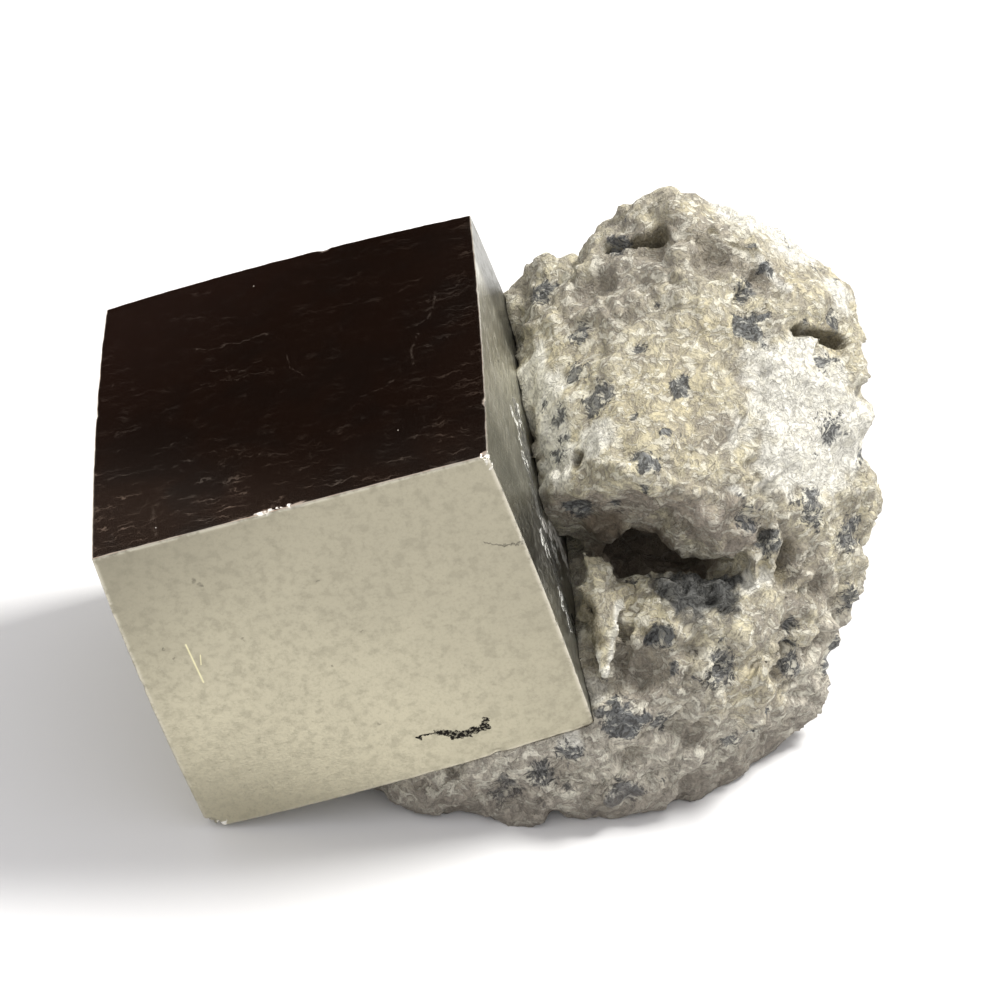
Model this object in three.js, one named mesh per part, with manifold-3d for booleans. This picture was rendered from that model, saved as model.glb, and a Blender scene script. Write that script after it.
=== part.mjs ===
// Pyrite specimen: one large crystal of pyrite, grown in a block of marl.
//
// Two pieces: the crystal, a nearly cubic block with flat faces, and the broken piece of marl
// that still holds its lower right corner. The specimen leans on the marl's underside and on
// the crystal's lower left edge, so the crystal is tipped over to the left.
//
// Millimetres, +Z up, +X to the right of the crystal's front face, +Y away from that face.
import * as THREE from "three";
import { ConvexGeometry } from "three/addons/geometries/ConvexGeometry.js";
import { mergeVertices } from "three/addons/utils/BufferGeometryUtils.js";
import Module from "manifold-3d";

// ---- Driving dimensions -------------------------------------------------------------------

const CRYSTAL_EDGE = 24; // width of the crystal; every other size follows it
const SCALE = CRYSTAL_EDGE / 24; // the marl's corner points below are drawn for a 24 mm crystal

const CRYSTAL_DEPTH = 1.052 * CRYSTAL_EDGE; // the crystal is a little deeper than it is wide
const CRYSTAL_HEIGHT = 0.89 * CRYSTAL_EDGE; // and a little lower
const CRYSTAL_LEAN = THREE.MathUtils.degToRad(16.6); // its right side is raised by this angle
const CRYSTAL_TURN = THREE.MathUtils.degToRad(2.6); // its right side is turned back by this angle
const CRYSTAL_CENTRE = new THREE.Vector3(-9.58, 13.2, 13.87).multiplyScalar(SCALE);

// Opposite faces aren't quite parallel: the width shrinks upwards, and the depth and the height
// shrink to the right. Each is a change of size per size.
const WIDTH_TAPER = 0.03;
const DEPTH_TAPER = 0.016;
const HEIGHT_TAPER = 0.028;

const SOCKET_GAP = 0.3; // clearance between the crystal and the marl round it
const LONGEST_EDGE = 3.2 * SCALE; // the marl's triangles are split down to this length
const WARP_HEIGHT = 0.55 * SCALE; // how far the uneven surface of the marl wanders
const WARP_LENGTH = 4.2 * SCALE; // distance from one rise of that surface to the next

// ---- Helpers ------------------------------------------------------------------------------

const wasm = await Module();
wasm.setup();

function toSolid(geometry) {
  const plain = geometry.clone();
  plain.deleteAttribute("normal");
  plain.deleteAttribute("uv");
  const merged = mergeVertices(plain, 1e-4);
  const mesh = new wasm.Mesh({
    numProp: 3,
    vertProperties: new Float32Array(merged.attributes.position.array),
    triVerts: new Uint32Array(merged.index.array),
  });
  return new wasm.Manifold(mesh);
}

function toGeometry(solid) {
  const mesh = solid.getMesh();
  const geometry = new THREE.BufferGeometry();
  geometry.setAttribute("position", new THREE.BufferAttribute(mesh.vertProperties, 3));
  geometry.setIndex(new THREE.BufferAttribute(mesh.triVerts, 1));
  geometry.computeVertexNormals();
  return geometry;
}

// A convex block through a list of [x, y, z] corners.
function block(corners) {
  const points = corners.map((corner) => new THREE.Vector3(...corner).multiplyScalar(SCALE));
  return toSolid(new ConvexGeometry(points));
}

function edgeName(p, q) {
  return `${Math.min(p, q)}:${Math.max(p, q)}`;
}

function longestEdge([a, b, c], points) {
  const length = ([p, q]) => points[p].distanceTo(points[q]);
  const edges = [[a, b], [b, c], [c, a]];
  return edges.reduce((best, edge) => (length(edge) > length(best) ? edge : best));
}

// A triangle cut at each of its edges that has a middle point.
function cutAtMiddles(triangle, middles) {
  for (let k = 0; k < 3; k += 1) {
    const [p, q, r] = [triangle[k], triangle[(k + 1) % 3], triangle[(k + 2) % 3]];
    const middle = middles.get(edgeName(p, q));
    if (middle !== undefined) {
      return [[p, middle, r], [middle, q, r]].flatMap((half) => cutAtMiddles(half, middles));
    }
  }
  return [triangle];
}

// A mesh with its edges halved until none is longer than the limit. Both triangles at an edge
// share its new middle point, so a closed mesh stays closed.
function splitLongEdges(geometry, limit) {
  const points = [];
  const position = geometry.attributes.position;
  for (let i = 0; i < position.count; i += 1) {
    points.push(new THREE.Vector3().fromBufferAttribute(position, i));
  }
  let triangles = [];
  for (let i = 0; i < geometry.index.count; i += 3) {
    triangles.push([0, 1, 2].map((k) => geometry.index.getX(i + k)));
  }
  let middles;
  do {
    middles = new Map();
    for (const triangle of triangles) {
      const [p, q] = longestEdge(triangle, points);
      if (points[p].distanceTo(points[q]) > limit && !middles.has(edgeName(p, q))) {
        middles.set(edgeName(p, q), points.length);
        points.push(points[p].clone().lerp(points[q], 0.5));
      }
    }
    triangles = triangles.flatMap((triangle) => cutAtMiddles(triangle, middles));
  } while (middles.size > 0);
  const split = new THREE.BufferGeometry().setFromPoints(points);
  split.setIndex(triangles.flat());
  return split;
}

// Smooth, repeatable unevenness: three sine waves of different length and direction.
function ripple(p, phase) {
  const k = (2 * Math.PI) / WARP_LENGTH;
  const broad = Math.sin(k * (0.61 * p.x + 0.32 * p.y - 0.45 * p.z) + phase);
  const middle = Math.sin(k * (0.83 * p.y - 0.71 * p.x + 0.52 * p.z) + 2.1 * phase);
  const fine = Math.sin(k * (1.13 * p.z + 0.94 * p.x + 0.48 * p.y) + 3.7 * phase);
  return (broad + middle + fine) / 3;
}

// Every point is moved by the ripples, each axis by its own.
function warp(geometry) {
  const position = geometry.attributes.position;
  const point = new THREE.Vector3();
  for (let i = 0; i < position.count; i += 1) {
    point.fromBufferAttribute(position, i);
    const shift = new THREE.Vector3(ripple(point, 0.7), ripple(point, 2.3), ripple(point, 4.1));
    point.addScaledVector(shift, WARP_HEIGHT);
    position.setXYZ(i, point.x, point.y, point.z);
  }
  return geometry;
}

// ---- Crystal ------------------------------------------------------------------------------

// The crystal in its own frame, centred, with its faces moved outwards by the given distance.
function crystalGeometry(growth) {
  const half = new THREE.Vector3(CRYSTAL_EDGE, CRYSTAL_DEPTH, CRYSTAL_HEIGHT).multiplyScalar(0.5);
  const geometry = new THREE.BoxGeometry(2, 2, 2);
  const position = geometry.attributes.position;
  const corner = new THREE.Vector3();
  for (let i = 0; i < position.count; i += 1) {
    corner.fromBufferAttribute(position, i);
    const width = (half.x + growth) * (1 - (WIDTH_TAPER / 2) * corner.z);
    const depth = (half.y + growth) * (1 - (DEPTH_TAPER / 2) * corner.x);
    const height = (half.z + growth) * (1 - (HEIGHT_TAPER / 2) * corner.x);
    position.setXYZ(i, corner.x * width, corner.y * depth, corner.z * height);
  }
  return geometry;
}

function placeCrystal(object) {
  object.position.copy(CRYSTAL_CENTRE);
  object.rotation.set(0, -CRYSTAL_LEAN, CRYSTAL_TURN, "ZYX");
  object.updateMatrix();
  return object;
}

function makeCrystal() {
  const material = new THREE.MeshStandardMaterial({ color: 0xb9b294, roughness: 0.3, metalness: 1 });
  const crystal = placeCrystal(new THREE.Mesh(crystalGeometry(0), material));
  crystal.name = "pyrite_crystal";
  return crystal;
}

// ---- Marl ---------------------------------------------------------------------------------

// The upper crag: a sloping front face over an undercut, and a flat top that falls to the right.
const CRAG = [
  [2.9, 9.8, 17.8], [5.4, 8, 20.4], [8, 7.6, 21.2], [10.2, 7.8, 20.4], [13.2, 8.4, 18.6],
  [16.2, 9.6, 17.2], [1.8, 20.5, 21.2], [4.4, 23.5, 24.2], [5, 27, 24.6], [6.8, 27.5, 26.9],
  [8.5, 27.5, 28.2], [10.3, 27.5, 28.5], [12.2, 24, 28.4], [13.3, 27, 28], [16.4, 22, 26.2],
  [17.7, 26.5, 25.6], [20, 21, 24.8], [21.8, 24.5, 22.7], [22.7, 23, 21.3],
  [3, 12.5, 13], [14, 12.5, 12], [14.6, 9.4, 14.2], [20, 26, 12], [5, 29, 13], [12, 31, 20],
];

// The shoulder that steps down from the crag to the crystal and round behind its far edge.
const SHOULDER = [
  [1.6, 19, 20.4], [0.3, 26.8, 21.2], [1.9, 27, 22.2], [2.9, 27, 23.8], [4.4, 27, 23.9],
  [5, 22, 23.6], [6, 29, 21], [-1.4, 28.4, 14], [-1, 28.6, 19], [8, 30, 14], [8, 18, 14],
  [3, 14, 14],
];

// The right flank, with its pale slanting face.
const FLANK = [
  [16, 15.5, 23.7], [21.2, 16, 20.8], [22, 18, 21.6], [21.6, 14.2, 14.6], [16.4, 9.5, 17.2],
  [22.8, 14, 12.9], [22.4, 13, 10.7], [20.8, 11.6, 4.6], [19, 9.4, 2], [16.4, 7.6, 12.6],
  [17, 12, 2], [22.2, 24, 8], [20.5, 26, 20], [14, 20, 22],
];

// The lower mass, from the foot under the crystal to the knobs on the right.
const FOOT = [
  [-8.6, 3.2, 0.4], [-7, 2.2, 0.4], [-4.3, 1.2, 0.2], [0.2, 0.3, 0], [1.7, 0.2, 0], [7.2, 0.9, 0],
  [10.5, 1.6, 0], [13.2, 3.4, 0.3], [15, 4.6, 0.4], [17, 6.7, 0], [19, 9, 2], [-8, 1.9, 2.8],
  [5.6, 0.7, 7.3], [8.4, 1, 4.6], [10.7, 2.6, 8], [8.9, 4, 13.2], [14.5, 4.6, 12.4],
  [14.3, 3.2, 9.6], [17.4, 7.2, 12.6], [20.2, 10.2, 9], [20.8, 12, 5.5], [-5, 24, 0.4],
  [0, 29, 3], [3, 31, 12], [12, 32, 10], [20, 28, 6], [22, 22, 8], [18, 23, 0], [4, 26, 0],
];

// A thin splinter that stands beside the crystal, in front of the hollow.
const SPLINTER = [
  [4.9, 8.8, 14.8], [6.5, 8.4, 14.4], [5.1, 6.4, 14.4], [6.1, 6, 14.2], [6.2, 2.2, 9.7],
  [6.7, 2.9, 9.4], [5.8, 3.6, 9.2], [6.8, 6.6, 10.8],
];

// The deep hollow under the crag.
const HOLLOW = [
  [7, 8.2, 12.9], [12.4, 8.8, 12.7], [6.4, 8.8, 14.6], [6.2, 10.4, 15.2], [9, 10.4, 14.1],
  [12.2, 10.4, 13.4], [7, 10, 10.4], [12.2, 10.4, 10.4], [6.8, 14.4, 10.6], [12.4, 14.6, 10.8],
  [7, 14, 13.6], [12, 14, 13],
];

const BELOW = 10 * SCALE; // depth of the block that trims the underside flat
const REACH = 100 * SCALE; // its width, wider than the specimen

function makeMarl() {
  const lobes = [CRAG, SHOULDER, FLANK, FOOT].map(block).reduce((sum, next) => sum.add(next));
  const rough = lobes.subtract(block(HOLLOW)).add(block(SPLINTER));
  const uneven = toSolid(warp(splitLongEdges(toGeometry(rough), LONGEST_EDGE)));
  const ground = new THREE.BoxGeometry(REACH, REACH, BELOW).translate(0, 0, -BELOW / 2);
  const socket = crystalGeometry(SOCKET_GAP);
  socket.applyMatrix4(placeCrystal(new THREE.Object3D()).matrix);
  const solid = uneven.subtract(toSolid(ground)).subtract(toSolid(socket));
  const material = new THREE.MeshStandardMaterial({ color: 0xc9c2a8, roughness: 0.95, metalness: 0 });
  const marl = new THREE.Mesh(toGeometry(solid), material);
  marl.name = "marl_matrix";
  return marl;
}

// ---- Specimen -----------------------------------------------------------------------------

// The origin is at the middle of the specimen's outline, on the surface that it rests on.
function makeSpecimen() {
  const pieces = new THREE.Group();
  pieces.add(makeCrystal(), makeMarl());
  const box = new THREE.Box3().setFromObject(pieces, true);
  const centre = box.getCenter(new THREE.Vector3());
  pieces.position.set(-centre.x, -centre.y, -box.min.z);
  const specimen = new THREE.Group();
  specimen.name = "pyrite_specimen";
  specimen.add(pieces);
  return specimen;
}

export default makeSpecimen();
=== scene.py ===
"""Pyrite specimen: a bright, nearly cubic crystal in a piece of pale marl, on a pale floor."""
import math

import bmesh
import bpy
import numpy as np
from mathutils import Euler, Matrix, Vector, noise


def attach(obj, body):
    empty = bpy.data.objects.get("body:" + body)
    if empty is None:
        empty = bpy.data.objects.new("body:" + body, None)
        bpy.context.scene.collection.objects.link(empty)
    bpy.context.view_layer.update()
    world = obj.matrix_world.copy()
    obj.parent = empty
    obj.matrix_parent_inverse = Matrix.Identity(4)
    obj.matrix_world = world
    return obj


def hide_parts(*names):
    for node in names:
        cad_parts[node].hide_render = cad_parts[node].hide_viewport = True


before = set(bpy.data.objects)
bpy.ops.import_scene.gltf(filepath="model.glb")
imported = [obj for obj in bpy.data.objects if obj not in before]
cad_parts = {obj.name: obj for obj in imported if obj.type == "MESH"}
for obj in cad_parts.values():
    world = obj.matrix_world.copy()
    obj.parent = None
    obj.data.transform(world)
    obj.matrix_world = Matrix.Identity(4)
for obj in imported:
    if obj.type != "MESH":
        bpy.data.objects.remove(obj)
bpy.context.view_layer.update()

MM = 0.001  # shapes are carved in millimetres and put back into metres at the end

# ---- Sizes and places, in millimetres in the frame's axes -------------------------------------

COARSE_GRAIN = 0.45  # size of the stone's mesh cells while its large forms are carved
FINE_GRAIN = 0.224  # and while its broken surface is carved
CONTACT_GAP = 0.03  # the stone stops this far short of the crystal
CONTACT_REACH = 0.62  # stone nearer to the crystal than this is drawn up to it

CRYSTAL_LEAN = math.radians(16.6)  # the crystal's right side is raised by this angle
CRYSTAL_TURN = math.radians(2.6)  # and turned back by this one
WIDTH_TAPER = 0.03  # its width shrinks upwards, and its depth and height to the right
DEPTH_TAPER = 0.016
HEIGHT_TAPER = 0.028
CRYSTAL_BOW = 0.017  # its faces stand proud in the middle by this part of half its size
CRYSTAL_CUTS = 112  # mesh cells along each of its edges, less one
CRYSTAL_ROUND = 0.10  # radius of its worn edges

CAMERA_AIM = Vector((0.84, -1.6, 14.1))
CAMERA_PITCH = math.radians(37)
CAMERA_DISTANCE = 245
CAMERA_LENS = 144
SENSOR_WIDTH = 36

KEY_DIRECTION = Vector((0.50, 0.22, 0.84)).normalized()
KEY_DISTANCE = 0.8
KEY_SIZE = 0.20
KEY_POWER = 7.6
KEY_COLOUR = (1.0, 0.985, 0.96)
ROOM_STRENGTH = 0.88
ROOM_COLOUR = (1.0, 0.985, 1.0)
DARK_WALL_DIRECTION = Vector((-0.33, 0.79, 0.51)).normalized()
DARK_WALL_INNER = math.radians(16)
DARK_WALL_OUTER = math.radians(30)
DARK_WALL_COLOUR = (0.016, 0.009, 0.007)

# ---- Places on the stone: the middle of each feature and how far it reaches --------------------

GREY_GRAINS = (  # knots of blue-grey mineral, mixed with the clay
    ((15.7, 4.2, 25.5), 0.9), ((9.2, -0.1, 24.2), 0.6), ((5.4, 0.2, 22.5), 1.0),
    ((6.8, -2.5, 22.6), 1.2), ((4.3, -4.2, 19.4), 0.7), ((13.8, -12.8, 9.9), 1.3),
    ((14.9, -12.6, 4.0), 0.8), ((1.4, -15.1, 2.8), 1.0), ((0.8, -15.3, 1.9), 0.8),
    ((20.9, 4.6, 22.9), 0.8), ((15.5, -6.6, 16.7), 1.1), ((3.6, 8.4, 22.6), 1.1),
    ((22.1, -3.2, 12.6), 1.4), ((19.5, -5.0, 16.2), 1.3), ((3.2, -15.3, 3.7), 1.0),
    ((20.6, -1.6, 19.4), 1.2), ((22.4, -4.2, 8.3), 1.1), ((17.0, -7.0, 15.1), 0.9),
    ((18.5, -9.0, 7.2), 0.9), ((5.6, 3.0, 23.0), 0.9), ((4.6, -2.0, 20.8), 0.8),
    ((6.6, -14.2, 9.8), 0.6), ((20.4, 1.4, 22.0), 0.9), ((7.8, 8.4, 26.2), 1.0),
    ((10.6, -14.6, 7.0), 1.0), ((5.0, -15.5, 5.6), 0.9), ((21.8, -0.6, 16.4), 1.1),
    ((3.0, -0.8, 20.6), 0.9), ((16.4, -11.4, 5.6), 0.8), ((7.0, -8.8, 19.6), 0.7),
)
DARK_GRAINS = (  # darker knots of the same mineral
    ((15.8, 1.8, 24.5), 1.25), ((15.3, 3.2, 25.0), 0.5), ((11.6, -2.6, 23.2), 0.7),
    ((9.4, -7.9, 21.6), 0.9), ((10.2, -12.5, 12.2), 0.9), ((5.6, -5.8, 16.6), 1.1),
    ((7.6, -6.6, 17.0), 0.8), ((8.0, -15.1, 7.8), 1.3), ((9.4, -14.8, 7.9), 0.7),
    ((8.4, -15.2, 2.4), 1.1), ((20.8, -5.9, 4.9), 1.0), ((18.4, -8.7, 9.2), 0.8),
    ((17.0, 5.7, 26.2), 0.6), ((11.0, -6.0, 22.3), 0.5),
)
BROWN_ZONES = (  # clay stained brown
    ((5.7, 5.5, 24.0), 2.2), ((9.4, 5.8, 26.0), 3.0), ((13.0, 6.5, 27.7), 2.6),
    ((13.6, -4.4, 20.8), 1.8), ((9.0, -13.6, 10.2), 2.0), ((10.8, -13.4, 9.9), 1.8),
    ((18.4, -7.2, 12.2), 1.4), ((20.3, -6.1, 10.6), 1.6), ((9.3, -4.0, 12.6), 4.4),
    ((-1.6, -15.2, 2.0), 2.0), ((16.6, -11.0, 5.2), 1.6), ((10.0, -12.8, 11.9), 1.0),
    ((19.0, -6.2, 13.0), 2.0), ((18.4, -8.4, 11.2), 1.8), ((16.4, -10.4, 11.4), 1.5),
    ((14.4, 6.2, 27.5), 2.2), ((16.8, 5.0, 26.2), 1.7), ((9.2, -14.4, 9.0), 2.0),
    ((8.2, 7.6, 26.2), 2.4), ((11.4, 7.2, 27.4), 2.0), ((7.6, 3.6, 24.6), 2.4),
)
UNDER_SHADE_ZONES = (  # painted shade on the crag's lower faces
    ((5.0, -6.2, 16.6), 1.9), ((7.0, -7.0, 17.4), 2.2), ((9.2, -7.2, 17.8), 2.3),
    ((11.4, -7.4, 17.8), 2.3), ((13.4, -7.2, 17.0), 2.1), ((15.2, -6.8, 15.6), 1.6),
)
PALE_ZONES = (  # chalky white faces
    ((16.0, 10.8, 27.2), 2.5), ((18.9, 9.3, 25.9), 2.2), ((22.0, 6.6, 24.0), 1.5),
    ((18.3, -1.6, 21.6), 3.1), ((20.1, -2.7, 18.7), 3.5), ((17.6, -4.6, 18.8), 1.9),
    ((22.0, -1.2, 19.0), 3.2), ((2.7, 2.5, 20.2), 1.2), ((2.7, 1.2, 17.6), 1.2),
    ((15.9, -8.1, 12.8), 0.9), ((16.2, -7.4, 13.6), 0.6), ((19.0, 1.5, 22.8), 1.8),
    ((6.6, -13.9, 8.8), 0.8), ((20.8, 0.6, 21.4), 1.6), ((16.6, 0.2, 22.8), 1.6),
    ((14.6, -3.4, 20.4), 1.4), ((5.2, -14.9, 6.0), 0.9), ((2.6, -3.0, 17.2), 0.8),
    ((4.1, -4.8, 19.0), 1.8), ((3.8, -2.2, 20.2), 1.8), ((3.6, 0.4, 20.8), 1.8),
    ((6.6, -5.2, 21.2), 1.4), ((3.2, 3.2, 20.8), 1.3),
)
PALE_LINES = (  # thin chalky seams: start, end, half width
    ((8.1, -10.0, 13.9), (7.8, -11.8, 12.6), 0.38), ((7.8, -11.8, 12.6), (7.2, -13.9, 10.2), 0.38),
    ((6.1, -10.4, 13.9), (6.4, -12.6, 11.6), 0.22), ((6.4, -12.6, 11.6), (6.9, -13.9, 10.2), 0.25),
    ((8.8, 8.2, 26.9), (10.4, 7.6, 27.9), 0.30), ((2.1, 4.6, 20.6), (2.6, -0.6, 18.6), 0.40),
    ((2.6, -0.6, 18.6), (2.9, -2.4, 16.4), 0.35), ((12.0, -7.5, 19.6), (14.9, -6.7, 18.6), 0.45),
    ((16.4, 6.3, 26.8), (18.4, 4.6, 25.2), 0.40),
)
CRACK_SHADE_LINES = (  # painted shade along the cracks and creases: start, end, half width
    ((6.0, -10.3, 13.0), (6.6, -12.3, 11.5), 0.85), ((7.4, 8.7, 25.9), (10.3, 7.9, 27.0), 0.50),
    ((19.0, 2.6, 23.8), (21.8, 4.05, 21.9), 0.60), ((13.6, 7.4, 27.9), (16.4, 6.5, 26.8), 0.40),
    ((5.6, -12.2, 11.2), (6.0, -13.0, 10.2), 0.35),
    ((5.4, -5.5, 20.2), (5.4, -5.6, 20.0), 0.55), ((9.4, -12.3, 12.4), (10.8, -12.3, 12.2), 0.50),
)
OCHRE_ZONES = (  # clay stained yellow
    ((8.3, -9.8, 12.8), 1.3), ((10.6, 8.2, 27.5), 1.0), ((20.6, 2.6, 22.2), 2.0),
    ((4.4, -5.0, 19.2), 2.6), ((10.2, -3.6, 22.6), 4.4), ((15.5, -12.2, 8.2), 2.7),
    ((10.6, -11.2, 12.4), 1.4), ((12.4, 8.4, 28.2), 1.6), ((18.6, 5.2, 25.4), 1.5),
    ((17.6, -10.6, 6.6), 1.8), ((5.0, 1.0, 21.6), 2.4), ((13.0, 1.4, 24.2), 2.0),
)
PIT_SHADE_ZONES = (  # painted shade in pits and at the ends of cracks
    ((10.5, 8.0, 27.4), 0.8), ((21.2, 4.0, 22.4), 0.8), ((17.9, -7.2, 13.0), 0.9),
    ((19.0, -6.8, 14.0), 0.8), ((17.2, -7.6, 12.0), 0.7),
)
CAVE_SHADE_ZONES = (  # painted shade inside the deep hollow
    ((9.9, -3.2, 12.4), 4.2), ((7.2, -5.4, 15.0), 1.6), ((13.0, -4.6, 12.0), 2.0),
)
CALM_ZONES = (  # faces that broke off smooth
    ((10.0, -2.4, 22.8), 6.0), ((15.3, 9.8, 27.4), 4.0), ((18.7, 9.1, 25.9), 4.4),
    ((21.0, 6.3, 24.2), 3.2), ((18.3, -1.6, 21.6), 3.6), ((20.1, -2.7, 18.7), 4.0),
    ((15.6, -12.3, 7.5), 1.6), ((4.8, -1.6, 21.0), 3.4), ((5.0, -4.8, 19.8), 2.6),
    ((4.4, 2.4, 21.8), 2.6),
)
STILL_ZONES = (  # the splinter, which is smooth
    ((7.0, -10.6, 13.6), 1.1), ((7.1, -11.6, 12.4), 1.1), ((7.2, -12.8, 11.2), 1.0),
    ((7.2, -13.7, 10.3), 0.8), ((16.2, -8.3, 13.0), 1.0),
)
GRANULAR_ZONES = (  # a mass of small dark grains
    ((11.9, -9.9, 13.3), 2.0), ((13.9, -9.6, 13.0), 1.8), ((12.6, -8.4, 13.2), 1.7),
    ((10.8, -8.8, 13.2), 1.2), ((14.2, -8.2, 13.0), 1.3),
)
LUMPS = (  # knobs and grains that stand out of the broken surface
    ((18.8, -8.2, 9.0), 1.2), ((19.0, -7.4, 5.8), 1.2), ((16.0, -7.3, 12.2), 1.0),
    ((13.8, -9.4, 12.4), 1.1), ((11.6, -9.6, 12.8), 1.15), ((9.6, -9.0, 12.5), 0.8),
    ((12.7, -10.1, 12.3), 0.8), ((15.4, -11.0, 7.4), 2.0), ((8.3, -14.6, 2.2), 1.1),
    ((8.2, -9.6, 12.2), 0.8), ((16.8, -9.4, 8.6), 1.3),
)
DENTS = (  # broad hollows: the middle, how far it reaches along each axis, how deep it is
    ((9.2, -13.9, 10.2), (2.3, 2.2, 2.0), 1.6), ((7.3, -14.2, 9.2), (1.0, 1.2, 0.9), 0.8),
    ((18.1, -7.9, 12.2), (2.4, 1.6, 1.3), 0.8), ((20.4, -6.6, 11.0), (1.5, 1.6, 1.6), 0.9),
    ((19.8, -7.9, 7.5), (1.5, 1.5, 1.3), 0.9), ((17.6, -5.6, 14.2), (1.6, 1.8, 1.7), 0.7),
    ((12.2, -12.4, 11.0), (1.3, 1.4, 1.0), 0.8), ((12.8, -14.2, 5.6), (1.8, 1.5, 1.1), 0.35),
    ((17.4, -10.6, 7.6), (1.2, 1.8, 1.2), 0.8), ((4.2, -15.4, 4.6), (1.7, 1.3, 0.9), 0.5),
    ((0.6, -15.3, 2.4), (1.6, 1.2, 0.8), 0.4), ((8.8, -15.0, 5.0), (1.6, 1.3, 1.0), 0.6),
    ((12.4, -13.8, 2.0), (1.8, 1.4, 1.0), 0.5), ((6.0, -11.3, 12.4), (0.6, 1.0, 1.3), 0.6),
    ((15.2, -10.1, 10.8), (1.5, 1.2, 1.0), 0.8), ((21.0, -3.0, 14.6), (1.6, 2.0, 1.6), 0.6),
    ((6.6, 6.4, 24.4), (2.2, 1.8, 1.4), 0.8), ((20.4, -4.6, 9.0), (2.0, 2.4, 1.6), 0.7),
    ((10.4, 6.8, 26.6), (1.8, 1.6, 1.2), 0.7), ((13.4, 5.2, 26.9), (2.0, 1.3, 1.0), 0.6),
    ((4.6, 8.2, 23.9), (1.2, 1.4, 1.2), 0.4), ((10.0, -12.5, 12.2), (0.9, 1.0, 0.7), 0.8),
    ((17.2, -11.6, 3.4), (1.6, 1.6, 0.9), 0.7), ((7.4, -4.4, 15.6), (1.4, 1.6, 1.0), 0.6),
)
PITS = (  # small holes: the middle, how far it reaches, how deep it is
    ((5.4, -5.5, 20.2), 0.50, 1.3), ((10.5, 8.0, 27.4), 0.7, 0.7), ((9.9, -13.0, 11.5), 0.9, 0.6),
    ((13.2, -2.4, 22.4), 0.5, 0.3), ((9.4, 0.2, 24.2), 0.5, 0.3), ((12.6, -11.6, 11.9), 0.8, 0.5),
    ((17.4, -8.9, 10.2), 0.9, 0.7), ((7.2, -12.6, 8.6), 1.0, 0.6), ((13.8, -13.0, 6.4), 0.7, 0.4),
    ((4.0, -15.2, 0.7), 1.0, 0.7), ((11.6, -13.9, 0.8), 1.1, 0.8), ((-2.0, -15.4, 0.5), 0.9, 0.5),
    ((16.6, 5.4, 26.2), 0.6, 0.4), ((12.0, -5.0, 21.4), 0.6, 0.35), ((7.6, 0.6, 23.2), 0.5, 0.2),
)
CRACKS = (  # start, end, half width, depth
    ((19.0, 2.6, 23.8), (21.8, 4.05, 21.9), 0.50, 1.5),
    ((7.4, 8.7, 25.9), (10.3, 7.9, 27.0), 0.42, 1.0),
    ((17.0, -7.5, 12.0), (19.8, -6.2, 15.2), 0.65, 1.1),
    ((12.0, 6.9, 27.8), (14.2, 6.1, 27.1), 0.80, 0.6), ((14.2, 6.1, 27.1), (16.6, 4.6, 26.0), 0.80, 0.6),
    ((18.4, -6.9, 13.0), (21.4, -4.4, 15.4), 0.45, 0.6), ((17.8, -9.4, 8.4), (20.8, -6.4, 11.8), 0.45, 0.6),
    ((5.7, -10.6, 13.6), (6.1, -13.2, 10.2), 0.50, 0.9),
    ((8.4, -11.4, 12.6), (7.8, -13.8, 10.2), 0.60, 1.2),
    ((8.7, -5.0, 22.0), (12.2, -6.2, 21.0), 0.30, 0.2),
    ((3.4, -3.0, 20.9), (4.9, -6.2, 18.6), 0.35, 0.25),
    ((15.6, -5.0, 19.4), (18.6, -6.8, 14.8), 0.5, 0.4),
    ((17.0, -9.6, 11.0), (20.6, -6.6, 7.4), 0.6, 0.6),
    ((9.0, -14.6, 6.6), (13.6, -13.4, 6.2), 0.5, 0.4),
    ((-4.0, -14.6, 2.4), (3.0, -15.6, 1.2), 0.45, 0.4),
    ((1.0, -15.6, 4.4), (6.0, -15.5, 3.6), 0.45, 0.35),
    ((6.1, -11.4, 11.2), (6.4, -14.2, 8.6), 0.50, 1.0),
    ((9.0, -12.6, 11.2), (11.4, -12.4, 11.4), 0.40, 0.7),
    ((12.4, -10.9, 11.6), (15.4, -9.2, 11.4), 0.35, 0.5),
)
SPLINTER = (  # corners of the thin pale splinter beside the crystal
    (5.5, -9.4, 13.6), (8.7, -9.6, 13.9), (8.0, -12.0, 12.7), (7.3, -14.3, 10.1),
    (6.8, -14.1, 10.2), (5.6, -8.2, 13.0), (8.8, -8.4, 12.9), (7.1, -12.4, 9.9),
    (6.0, -11.8, 12.2),
)
TOOTH = (  # corners of the pale tooth at the end of the crag's lower edge
    (15.0, -6.4, 15.0), (16.9, -5.8, 15.0), (16.2, -8.4, 14.4), (16.2, -8.6, 12.3),
    (15.8, -7.2, 12.0), (16.9, -7.0, 12.8),
)


# ---- Mesh helpers -----------------------------------------------------------------------------


def merged_shape(node):
    """A copy of a CAD node's shape in millimetres, with its loose triangles joined up."""
    shape = bmesh.new()
    shape.from_mesh(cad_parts[node].data)
    bmesh.ops.remove_doubles(shape, verts=shape.verts, dist=1e-6)
    bmesh.ops.scale(shape, vec=(1 / MM,) * 3, verts=shape.verts)
    return shape


def made_mesh(shape, name):
    mesh = bpy.data.meshes.new(name)
    shape.to_mesh(mesh)
    shape.free()
    return mesh


def even_mesh(mesh, grain):
    """The same closed shape, rebuilt from small even cells."""
    piece = bpy.data.objects.new("even", mesh)
    bpy.context.scene.collection.objects.link(piece)
    rebuild = piece.modifiers.new("even", "REMESH")
    rebuild.mode = "VOXEL"
    rebuild.voxel_size = grain
    depsgraph = bpy.context.evaluated_depsgraph_get()
    made = bpy.data.meshes.new_from_object(piece.evaluated_get(depsgraph))
    bpy.data.objects.remove(piece)
    return made


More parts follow.
